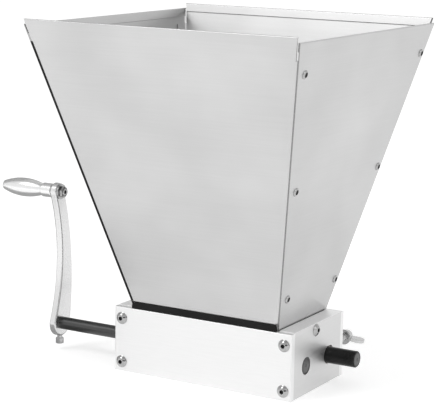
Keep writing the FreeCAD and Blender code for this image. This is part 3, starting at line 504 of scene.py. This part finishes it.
def wide_panel(label, end):
    """The front or rear sheet, with bent corner flanges, a folded rim and a skirt."""
    t, bend = Hopper.sheet, Hopper.bend
    start, fold, hem_end = hem_profile(Hopper.half_y, Hopper.slope_y, Hopper.fold_z,
                                       Hopper.top_z)
    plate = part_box(f"{label}_plate")
    inside = min(abs(plate[0].y), abs(plate[1].y))
    skirt_y = inside - 0.2 * MM
    skirt_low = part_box(f"hopper_{label}_panel")[0].z
    foot = rounded([(skirt_y, skirt_low), (skirt_y, Hopper.side_fold_z), start,
                    (Hopper.half_y(Hopper.flange_z), Hopper.flange_z)], 2 * MM, 3)
    levels = 8
    flange_levels = [Hopper.flange_z + (Hopper.notch_z - Hopper.flange_z) * i / levels
                     for i in range(levels + 1)]
    slope = [Vector((Hopper.half_y(z), z)) for z in flange_levels]
    notch = Vector((Hopper.half_y(Hopper.notch_z), Hopper.notch_z)) + Vector((0, 0.3 * MM))
    profile = foot[:-1] + slope + [notch] + fold + [hem_end]

    def half_width(i, z):
        """Half the flat part's width at a row; the hem's inner layer is a little shorter."""
        in_notch = z > Hopper.notch_z + 0.1 * MM
        edge = Hopper.half_x(max(z, Hopper.side_fold_z)) - t
        edge -= Hopper.notch_step if in_notch else bend
        return edge - (0.6 * MM if i > len(profile) - Hopper.hem_rows else 0)

    rows = []
    for i, (y, z) in enumerate(profile):
        half = half_width(i, z)
        rows.append([(half * (2 * k / Hopper.columns - 1), y * end, z)
                     for k in range(Hopper.columns + 1)])
    shapes = [skin(rows, closed=False)]
    painted_dark_edge_faces = []
    for side in SIDES.values():
        rows = []
        for z in flange_levels:
            x = Hopper.half_x(z) - t - bend
            y = Hopper.half_y(z)
            corner = arc((x, y - bend), bend, 90, 0, Hopper.bend_steps)
            corner.append(Vector((x + bend, y - Hopper.flange_reach[label])))
            rows.append([(p.x * side, p.y * end, z) for p in corner])
        verts, faces = skin(rows, closed=False)
        if side < 0:
            faces = [face[::-1] for face in faces]
        # The front sheet's left corner bend takes the painted dark line below the notch.
        if side < 0 and end < 0:
            first = sum(len(more) for _, more in shapes)
            per_row = len(rows[0]) - 1
            painted_dark_edge_faces = [first + i for i in range(len(faces))
                              if i % per_row < Hopper.bend_steps]
        shapes.append((verts, faces))
    verts, faces = joined(*shapes)
    if end > 0:
        faces = [face[::-1] for face in faces]
    # The front sheet's rims take the painted dark line below the notch.
    piece(f"hopper_{label}_sheet", (verts, faces), brushed_x, "housing",
          [f"hopper_{label}_panel"], sheet=t, bevel=0.12 * MM,
          rim=painted_dark_edge if end < 0 else cut_edge, rim_faces=painted_dark_edge_faces)


def side_panel(label, side):
    """The left or right sheet, lapped over the corner flanges and bent into its skirt."""
    t = Hopper.sheet
    low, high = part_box(f"hopper_{label}_panel")
    top_z = high.z
    start, fold, hem_end = hem_profile(Hopper.half_x, Hopper.slope_x, Hopper.side_fold_z,
                                       top_z)
    foot = rounded([(Hopper.low_half_x, low.z), start,
                    (Hopper.half_x(Hopper.flange_z), Hopper.flange_z)], 1 * MM, 5)
    profile = foot + fold + [hem_end]
    skirt_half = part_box("end_plate_left")[1].y - 0.1 * MM
    rows = []
    for i, (x, z) in enumerate(profile):
        front, rear = 0.6 * MM - Hopper.half_y(z), Hopper.half_y(z) + 0.6 * MM
        if z < Hopper.side_fold_z - 0.6 * MM:
            front, rear = -skirt_half, skirt_half
        if i > len(profile) - Hopper.hem_rows:
            front, rear = front + 0.8 * MM, rear - 2.0 * MM
        rows.append([(x * side, front + (rear - front) * k / Hopper.columns, z)
                     for k in range(Hopper.columns + 1)])
    verts, faces = skin(rows, closed=False)
    if side < 0:
        faces = [face[::-1] for face in faces]
    # The left sheet's rims take the painted dark line below the notch.
    piece(f"hopper_{label}_sheet", (verts, faces), brushed_y, "housing",
          [f"hopper_{label}_panel"], sheet=t, bevel=0.12 * MM,
          rim=painted_dark_edge if side < 0 else cut_edge)


def rivet_spots(side):
    """The outer point of each rivet of a side sheet."""
    for end, inset in ((-1, 10.6 * MM), (1, 4.6 * MM)):
        for share in (0.878, 0.482, 0.088):
            z = Hopper.fold_z + (Hopper.top_z - Hopper.fold_z) * share
            yield Vector((Hopper.half_x(z) * side, (Hopper.half_y(z) - inset) * end, z))


def rivets(label, side):
    """Six blind rivets: a domed flange round the pulled pin's stub, near-black as painted shade.
    """
    radius, height, hole = 3.2 * MM, 1.1 * MM, 1.9 * MM
    flange = [(0.0, radius)]
    for i in range(7):
        share = i / 6
        r = radius + (hole + 0.15 * MM - radius) * share
        flange.append((height * (0.22 + 0.78 * math.sin(share * math.pi / 2)), r))
    flange += [(height * 0.97, hole), (height * 0.3, hole * 0.97)]
    pin = [(height * 0.3, hole * 0.97), (height * 0.34, hole * 0.86), (height * 0.62, hole * 0.7),
           (height * 0.55, 0.0)]
    normal = Vector((side, 0, -Hopper.slope_x)).normalized()
    spots = [standing(p, normal) for p in rivet_spots(side)]
    heads = joined(*(placed(turned(flange, 32), spot) for spot in spots))
    pins = joined(*(placed(turned(pin, 32), spot) for spot in spots))
    node = f"hopper_rivets_{label}"
    piece(f"rivet_heads_{label}", heads, zinc, "housing", [node])
    piece(f"rivet_pins_{label}", pins, hollow_shade, "housing", [node])


def seal_strip(label, end):
    """The soft strip between a wide sheet and the top of its plate."""
    low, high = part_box(f"hopper_seal_{label}")
    near, far = sorted((abs(low.y), abs(high.y)))
    lip = Hopper.low_half_y + 0.05 * MM
    outline = rounded([(near, low.z), (far, low.z), (far - 0.9 * MM, low.z + 2.4 * MM),
                       (lip + 0.5 * MM, high.z), (lip, high.z)],
                      [0, 0.8 * MM, 3 * MM, 0.4 * MM, 0], 4, loop=True)
    rings = [[(x, y * end, z) for y, z in outline] for x in (low.x, high.x)]
    verts, faces = skin(rings)
    count = len(outline)
    faces += [list(range(count)), list(range(count, 2 * count))]
    piece(f"seal_{label}", (verts, faces), seal, "housing", [f"hopper_seal_{label}"],
          bevel=0.2 * MM, bevel_angle=60)


# ---------------------------------------------------------------- screws

HEAD_RADIUS = 4.75 * MM


def button_head():
    """A button head on z = 0, and its hexagonal socket as a second shape."""
    height, socket, depth = 2.75 * MM, 1.75 * MM, 1.7 * MM
    rings = [circle_ring(HEAD_RADIUS, 0), circle_ring(HEAD_RADIUS, 0.25 * MM)]
    dome = 5.48 * MM
    sink = dome - height
    land = socket * 1.22
    low_angle = math.asin((sink + 0.25 * MM) / dome)
    high_angle = math.acos(land / dome)
    steps = 9
    for i in range(1, steps + 1):
        angle = low_angle + (high_angle - low_angle) * i / steps
        shrink = 1 - 0.012 * (1 - i / steps)
        rings.append(circle_ring(dome * math.cos(angle) * shrink, dome * math.sin(angle) - sink))
    top = dome * math.sin(high_angle) - sink
    rings.append(circle_ring(socket * 1.12, top + 0.02 * MM))
    rings.append(hex_ring(socket, top - 0.16 * MM, rounding=0.97))
    bore = [rings[-1], hex_ring(socket * 0.98, top - depth, rounding=0.97),
            [(0, 0, top - depth - 0.4 * MM)]]
    return skin(rings), skin(bore)


def cover_screws(label, end):
    """The four screws of the front or rear plate."""
    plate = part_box(f"{label}_plate")
    face_y = plate[0].y if end < 0 else plate[1].y
    low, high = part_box(f"{label}_plate_screws")
    heads, bores = [], []
    for i, x in enumerate((low.x + HEAD_RADIUS, high.x - HEAD_RADIUS)):
        for k, z in enumerate((low.z + HEAD_RADIUS, high.z - HEAD_RADIUS)):
            turn = math.radians(14 + 23 * i + 31 * k)
            spot = standing((x, face_y, z), (0, end, 0), turn)
            head, bore = button_head()
            heads.append(placed(head, spot))
            bores.append(placed(bore, spot))
    node = f"{label}_plate_screws"
    piece(f"cover_screws_{label}", joined(*heads), zinc, "housing", [node])
    # The sockets are near-black: painted shade in the hollow.
    piece(f"cover_sockets_{label}", joined(*bores), hollow_shade, "housing", [node])


def hopper_screw(label, side):
    """The screw through an end plate into the hopper's skirt: a head and a bare shank."""
    low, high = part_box(f"hopper_screw_{label}")
    node = centre(f"hopper_screw_{label}")
    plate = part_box(f"end_plate_{label}")
    face_x = plate[0].x if side < 0 else plate[1].x
    inner = high.x if side < 0 else low.x
    spot = standing((face_x, node.y, node.z), (side, 0, 0), 0.2)
    head, bore = (placed(shape, spot) for shape in button_head())
    radius = 2.5 * MM
    reach = abs(inner - face_x)
    pitch = 0.8 * MM
    turns = int((reach - 1.5 * MM) / pitch)
    shank = [(0, radius)]
    for i in range(turns):
        start = (i + 0.5) * pitch + 0.6 * MM
        shank += [(start, radius), (start + pitch / 2, radius - 0.4 * MM)]
    shank += [(reach - 0.4 * MM, radius - 0.3 * MM), (reach, radius - 0.9 * MM), (reach, 0)]
    body = placed(turned(shank, 32), standing((face_x, node.y, node.z), (-side, 0, 0)))
    piece(f"hopper_bolt_{label}", joined(head, body), zinc, "housing",
          [f"hopper_screw_{label}"])
    # The socket is near-black: painted shade in the hollow.
    piece(f"hopper_socket_{label}", bore, hollow_shade, "housing", [f"hopper_screw_{label}"])


def hex_nut(circumradius, bore, thickness):
    """A hexagon nut from z = 0 with its corners chamfered on both faces."""
    apothem = circumradius * math.cos(math.pi / 6)
    chamfer = (circumradius - apothem) * 0.6
    rings = [circle_ring(bore, thickness * 0.5), circle_ring(bore, 0.5 * MM),
             circle_ring(bore + 0.4 * MM, 0), circle_ring(apothem * 0.96, 0)]
    for flip in (False, True):
        outline = []
        for x, y, z in hex_ring(circumradius, 0):
            rise = (math.hypot(x, y) - apothem) / (circumradius - apothem) * chamfer
            height = thickness - rise - 0.1 * MM if flip else rise + 0.1 * MM
            outline.append((x, y, height))
        rings.append(outline)
    rings += [circle_ring(apothem * 0.96, thickness),
              circle_ring(bore + 0.4 * MM, thickness),
              circle_ring(bore, thickness - 0.5 * MM), circle_ring(bore, thickness * 0.5)]
    return skin(rings)


def hopper_nut(label, side):
    """The nut on the inner face of the hopper's skirt."""
    low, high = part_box(f"hopper_nut_{label}")
    face_x = low.x if side < 0 else high.x
    middle = centre(f"hopper_nut_{label}")
    shape = placed(hex_nut((high.z - low.z) / 2, 2.5 * MM, high.x - low.x),
                   standing((face_x, middle.y, middle.z), (-side, 0, 0)))
    piece(f"hopper_hex_{label}", shape, zinc, "housing", [f"hopper_nut_{label}"])


def wing_screw(label):
    """A cast thumb screw: grooved shank, tapered hub and two swept wings."""
    low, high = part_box(f"wing_screw_{label}")
    hub_radius, nose_radius, shank = 6.0 * MM, 4.6 * MM, 3.0 * MM
    hub_y, hub_length = 59.5 * MM, 8.5 * MM
    middle = Vector(((low.x + high.x) / 2, low.y, (low.z + high.z) / 2))
    reach = hub_y - low.y
    groove, groove_width = 1.3 * MM, 1.8 * MM
    profile = [(0, 0), (0, shank - 0.4 * MM), (0.4 * MM, shank), (groove, shank),
               (groove, 2.0 * MM), (groove + groove_width, 2.0 * MM),
               (groove + groove_width, shank)]
    pitch = 1.0 * MM
    start = groove + groove_width + 0.8 * MM
    while start < reach - 2 * MM:
        profile += [(start, shank), (start + pitch / 2, shank - 0.5 * MM)]
        start += pitch
    hub = rounded([(reach - 1 * MM, shank), (reach, shank), (reach, hub_radius),
                   (reach + 1.5 * MM, hub_radius), (reach + hub_length - 0.6 * MM, nose_radius),
                   (reach + hub_length, nose_radius - 1.4 * MM), (reach + hub_length, 0)],
                  0.9 * MM, 4)
    shape = turned(profile + [tuple(p) for p in hub], 40)
    # One wing's outline in millimetres: how far above the hub's start, and how far out.
    wing = [(1.2, 2.0), (2.2, 6.0), (4.6, 10.6), (8.0, 13.4), (11.2, 13.9), (14.2, 12.3),
            (13.9, 9.4), (10.8, 6.2), (8.2, 2.0)]
    lobes = []
    for sign in (1, -1):
        outline = rounded([(r * MM * sign, (reach / MM + h) * MM) for h, r in wing],
                          3 * MM, 3, loop=True)
        lobe = slab([(p[0], p[1]) for p in outline], 2.8 * MM)
        upright = Matrix.Rotation(math.radians(90), 4, "X")
        lobes.append(placed(lobe, upright))
    tilt = math.radians(18)
    matrix = standing(middle, Y_AXIS, 0) @ Matrix.Rotation(tilt, 4, "Z")
    node, body = f"wing_screw_{label}", f"{label}_wing_screw"
    piece(f"thumb_screw_{label}", placed(shape, matrix), zinc, body, [node])
    piece(f"thumb_wings_{label}", placed(joined(*lobes), matrix), thumb, body, [node],
          bevel=0.9 * MM, segments=4)


# ---------------------------------------------------------------- rollers and shafts

def knurled_drum(label):
    """A roller drum with a diamond knurl between plain chamfered ends."""
    node = f"{label}_roller_drum"
    low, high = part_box(node)
    middle = centre(node)
    radius = (high.z - low.z) / 2
    length = high.x - low.x
    pitch, depth, chamfer, land = 0.9 * MM, 0.35 * MM, 0.8 * MM, 2.0 * MM
    around = 2 * round(math.pi * radius / pitch)
    rows = int((length - 2 * land) / pitch)
    rings = [[(0, 0, 0)], circle_ring(radius - chamfer, 0, around),
             circle_ring(radius - 0.05 * MM, chamfer, around),
             circle_ring(radius - 0.05 * MM, land - 0.3 * MM, around)]
    for row in range(rows + 1):
        z = land + (length - 2 * land) * row / rows
        ring = []
        for i in range(around):
            r = radius - (depth if (row + i) % 2 else 0)
            angle = 2 * math.pi * i / around
            ring.append((r * math.cos(angle), r * math.sin(angle), z))
        rings.append(ring)
    rings += [circle_ring(radius - 0.05 * MM, length - land + 0.3 * MM, around),
              circle_ring(radius - 0.05 * MM, length - chamfer, around),
              circle_ring(radius - chamfer, length, around), [(0, 0, length)]]
    shape = placed(skin(rings), standing((low.x, middle.y, middle.z), X_AXIS))
    piece(f"knurled_drum_{label}", shape, roller, f"{label}_roller", [node],
          smooth=14)


def shaft(label, parts, material):
    """A turned shaft from (start, radius) steps in metres along X, centre-drilled at its ends."""
    node = f"{label}_roller_shaft"
    low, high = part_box(node)
    middle = centre(node)
    edge = 0.7 * MM
    drill, drill_depth = 1.4 * MM, 1.6 * MM
    recess, recess_radius = 0.1 * MM, 4.7 * MM
    ends = [x for x, _ in parts[1:]] + [high.x]
    profile = [(low.x + drill_depth, 0), (low.x, drill)]
    for (start, radius), end in zip(parts, ends):
        profile += rounded([(start, radius - edge), (start + edge, radius), (end - edge, radius),
                            (end, radius - edge)], 0.3 * MM, 3)
    profile += [(high.x - recess, recess_radius), (high.x - recess, drill)]
    spot = standing((0, middle.y, middle.z), X_AXIS)
    piece(f"turned_shaft_{label}", placed(turned([tuple(p) for p in profile], 64), spot),
          material, f"{label}_roller", [node])
    face = [(high.x - recess, recess_radius), (high.x, recess_radius - 0.15 * MM),
            (high.x, drill), (high.x - drill_depth, 0)]
    piece(f"end_face_grey_{label}", placed(turned(face, 64), spot), end_grey, f"{label}_roller", [node])


# ---------------------------------------------------------------- crank and grip

def crank_arm():
    """The bowed cast arm, flat on both faces and rounded along its edges."""
    low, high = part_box("crank_arm")
    hub = centre("front_roller_shaft").yz
    boss = centre("grip_washer").yz
    hub_radius, boss_radius = 10.6 * MM, 6.8 * MM
    # In degrees, where the arm's two long edges leave the hub and the boss.
    hub_angles = (158.6, 356.7)
    boss_angles = (-17.6, 208.1)
    hub_ring = arc(hub, hub_radius, *hub_angles, 26)
    boss_ring = arc(boss, boss_radius, *boss_angles, 26)
    rear = bowed(hub_ring[-1], boss_ring[0], 255 * MM, -1)
    front = bowed(boss_ring[-1], hub_ring[0], 151.6 * MM, 1)
    outline = hub_ring + rear[1:-1] + boss_ring + front[1:-1]
    thickness = high.x - low.x
    shape = slab(outline, thickness)
    # The slab's x and y are the mill's Y and Z, and its z is the mill's X.
    turn = Matrix(((0, 0, 1, (low.x + high.x) / 2), (1, 0, 0, 0), (0, 1, 0, 0), (0, 0, 0, 1)))
    piece("cast_crank", placed(shape, turn), cast, "front_roller", ["crank_arm"],
          bevel=1.3 * MM, segments=4)


def grip():
    """The polished turned grip."""
    node = "crank_grip"
    low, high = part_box(node)
    middle = centre(node)
    length = high.x - low.x
    collar, neck, tip = 5.6 * MM, 4.5 * MM, 4.1 * MM
    collar_length = 9.6 * MM
    ends = [(0, 3.1 * MM), (0, collar - 0.6 * MM), (0.6 * MM, collar),
            (collar_length - 0.5 * MM, collar), (collar_length, collar - 0.5 * MM),
            (collar_length + 0.9 * MM, neck)]
    hand = bowed((collar_length + 0.9 * MM, neck), (length - 1.4 * MM, tip), 54 * MM, 1, 20)
    groove = [(length - 1.35 * MM, tip - 0.3 * MM), (length - 1.15 * MM, tip - 0.3 * MM),
              (length - 1.1 * MM, tip)]
    cap = [(length - 0.1 * MM, tip - 0.5 * MM), (length, tip - 2.4 * MM), (length, 0)]
    profile = rounded(ends + [tuple(p) for p in hand] + groove + cap,
                      [0, 0.5 * MM, 0.5 * MM, 0.4 * MM, 0.4 * MM, 1.2 * MM]
                      + [0.0] * (len(hand) + 2) + [0.9 * MM, 1.5 * MM, 0.0], 3)
    shape = placed(turned([tuple(p) for p in profile], 64),
                   standing((high.x, middle.y, middle.z), (-1, 0, 0)))
    piece("turned_grip", shape, polished, "grip", [node], smooth=50)


def clamp_screw():
    """The cap screw under the hub, with its socket facing down."""
    low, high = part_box("crank_clamp_screw")
    middle = centre("crank_clamp_screw")
    radius, shank = (high.x - low.x) / 2, 2.0 * MM
    head, socket, depth = 4.4 * MM, 1.75 * MM, 1.8 * MM
    length = high.z - low.z
    rings = [[(0, 0, depth + 0.4 * MM)], hex_ring(socket * 0.98, depth),
             hex_ring(socket, 0.15 * MM), circle_ring(socket * 1.15, 0),
             circle_ring(radius - 0.4 * MM, 0), circle_ring(radius - 0.1 * MM, 0.12 * MM),
             circle_ring(radius, 0.4 * MM), circle_ring(radius, head),
             circle_ring(shank, head), circle_ring(shank, length - 0.3 * MM),
             circle_ring(shank - 0.3 * MM, length), [(0, 0, length)]]
    shape = placed(skin(rings), standing((middle.x, middle.y, low.z), Z_AXIS))
    piece("cap_screw_crank", shape, cap_steel, "front_roller", ["crank_clamp_screw"])


def grip_nut():
    """The chamfered nut on the arm's inner side."""
    low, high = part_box("grip_nut")
    middle = centre("grip_nut")
    shape = placed(hex_nut(4.6 * MM, 3.0 * MM, high.x - low.x),
                   standing((low.x, middle.y, middle.z), X_AXIS, math.radians(8)))
    piece("grip_hex", shape, zinc, "front_roller", ["grip_nut"])


# ---------------------------------------------------------------- the mill

for end_label, end in ENDS.items():
    wide_panel(end_label, end)
    seal_strip(end_label, end)
    cover_screws(end_label, end)
for side_label, side in SIDES.items():
    side_panel(side_label, side)
    rivets(side_label, side)
    hopper_screw(side_label, side)
    hopper_nut(side_label, side)
    wing_screw(side_label)
knurled_drum("front")
knurled_drum("rear")
journal, crank_end = 6.35 * MM, 5.0 * MM
end_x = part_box("end_plate_right")[1].x
crank_end_x, rear_end_x = (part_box(f"{label}_roller_shaft")[0].x for label in ENDS)
shaft("front", [(crank_end_x, crank_end), (-74.0 * MM, journal)], oxide_painted_lit)
shaft("rear", [(rear_end_x, journal), (end_x, journal)], oxide)
crank_arm()
grip()
clamp_screw()
grip_nut()

CAD_MATERIALS = {
    plate_x: ["front_plate", "rear_plate"],
    plate_y: ["end_plate_left", "end_plate_right"],
    zinc: ["grip_washer", "grip_spindle", "grip_retaining_ring", "screw_pin_left",
           "screw_pin_right"],
    bush: ["front_bush_left", "front_bush_right", "rear_bush_left", "rear_bush_right"],
    cast: ["bearing_block_left", "bearing_block_right"],
    spacer: ["grip_spacer"],
}
for material, names in CAD_MATERIALS.items():
    for name in names:
        for slot in frame["nodes"][name].material_slots:
            slot.material = material


# ---------------------------------------------------------------- studio

def camera():
    """The camera at its viewing angle."""
    yaw, pitch, roll = (math.radians(a) for a in (-29.962, 10.768, 1.101))
    place = (0.6095, -1.0765, 0.3683)
    forward = Vector((math.sin(yaw) * math.cos(pitch), math.cos(yaw) * math.cos(pitch),
                      -math.sin(pitch)))
    right = Vector((math.cos(yaw), -math.sin(yaw), 0))
    up = right.cross(forward)
    tilted_right = math.cos(roll) * right + math.sin(roll) * up
    tilted_up = math.cos(roll) * up - math.sin(roll) * right
    data = bpy.data.cameras.new("camera")
    data.lens = 135.91
    data.sensor_width = 36.0
    obj = bpy.data.objects.new("camera", data)
    axes = Matrix((tilted_right, tilted_up, -forward)).transposed().to_4x4()
    obj.matrix_world = Matrix.Translation(place) @ axes
    bpy.context.scene.collection.objects.link(obj)
    bpy.context.scene.camera = obj


def area_light(name, spot, aim, size, power):
    """A soft square light that faces a point."""
    data = bpy.data.lights.new(name, "AREA")
    data.size = size
    data.energy = power
    obj = bpy.data.objects.new(name, data)
    spot = Vector(spot)
    obj.location = spot
    obj.rotation_euler = (Vector(aim) - spot).to_track_quat("-Z", "Y").to_euler()
    bpy.context.scene.collection.objects.link(obj)


def floor():
    """A wide pale floor under the housing."""
    bm = bmesh.new()
    bmesh.ops.create_circle(bm, cap_ends=True, segments=96, radius=20.0)
    mesh = bpy.data.meshes.new("floor")
    bm.to_mesh(mesh)
    bm.free()
    obj = bpy.data.objects.new("floor", mesh)
    obj.location.z = cad_low.z - 0.0001
    mesh.materials.append(studio_paint("floor_paint", 0.94, 0.36))
    bpy.context.scene.collection.objects.link(obj)


def card(name, corners, tone):
    """A grey card that only reflections see, to draw the edges of bright metal."""
    mesh = bpy.data.meshes.new(name)
    mesh.from_pydata(corners, [], [(0, 1, 2, 3)])
    mesh.materials.append(studio_paint(name + "_paint", tone))
    obj = bpy.data.objects.new(name, mesh)
    bpy.context.scene.collection.objects.link(obj)
    obj.visible_camera = False
    obj.visible_diffuse = False
    obj.visible_shadow = False


def world():
    """White studio air, dimmer overhead."""
    data = bpy.data.worlds.new("studio")
    bpy.context.scene.world = data
    data.use_nodes = True
    tree = data.node_tree
    background = tree.nodes["Background"]
    place = tree.nodes.new("ShaderNodeTexCoord")
    split = tree.nodes.new("ShaderNodeSeparateXYZ")
    ramp = tree.nodes.new("ShaderNodeValToRGB")
    tree.links.new(place.outputs["Generated"], split.inputs["Vector"])
    tree.links.new(split.outputs["Z"], ramp.inputs["Fac"])
    tree.links.new(ramp.outputs["Color"], background.inputs["Color"])
    ramp.color_ramp.elements.new(0.4)
    for element, tone in zip(ramp.color_ramp.elements, (1.0, 0.94, 0.5)):
        element.color = (*grey(tone), 1)
    background.inputs["Strength"].default_value = 1.0


camera()
floor()
world()
card("card_right", [(0.25, -1.04, 0), (0.85, -0.66, 0), (0.85, -0.66, 0.4),
                    (0.25, -1.04, 0.4)], 0.02)
card("card_left", [(-0.6, -0.1, 0), (-0.6, 0.85, 0), (-0.6, 0.85, 0.8), (-0.6, -0.1, 0.8)], 0.42)
card("card_low", [(-0.6, -0.12, 0.001), (-0.13, -0.12, 0.001), (-0.13, 0.7, 0.001),
                  (-0.6, 0.7, 0.001)], 0.5)
area_light("key", (-0.9, -1.3, 1.9), (0, 0, 0.12), 0.9, 10)
area_light("fill", (1.6, -0.3, 1.2), (0, 0, 0.15), 1.0, 2.0)
bpy.context.scene.view_settings.view_transform = "Standard"
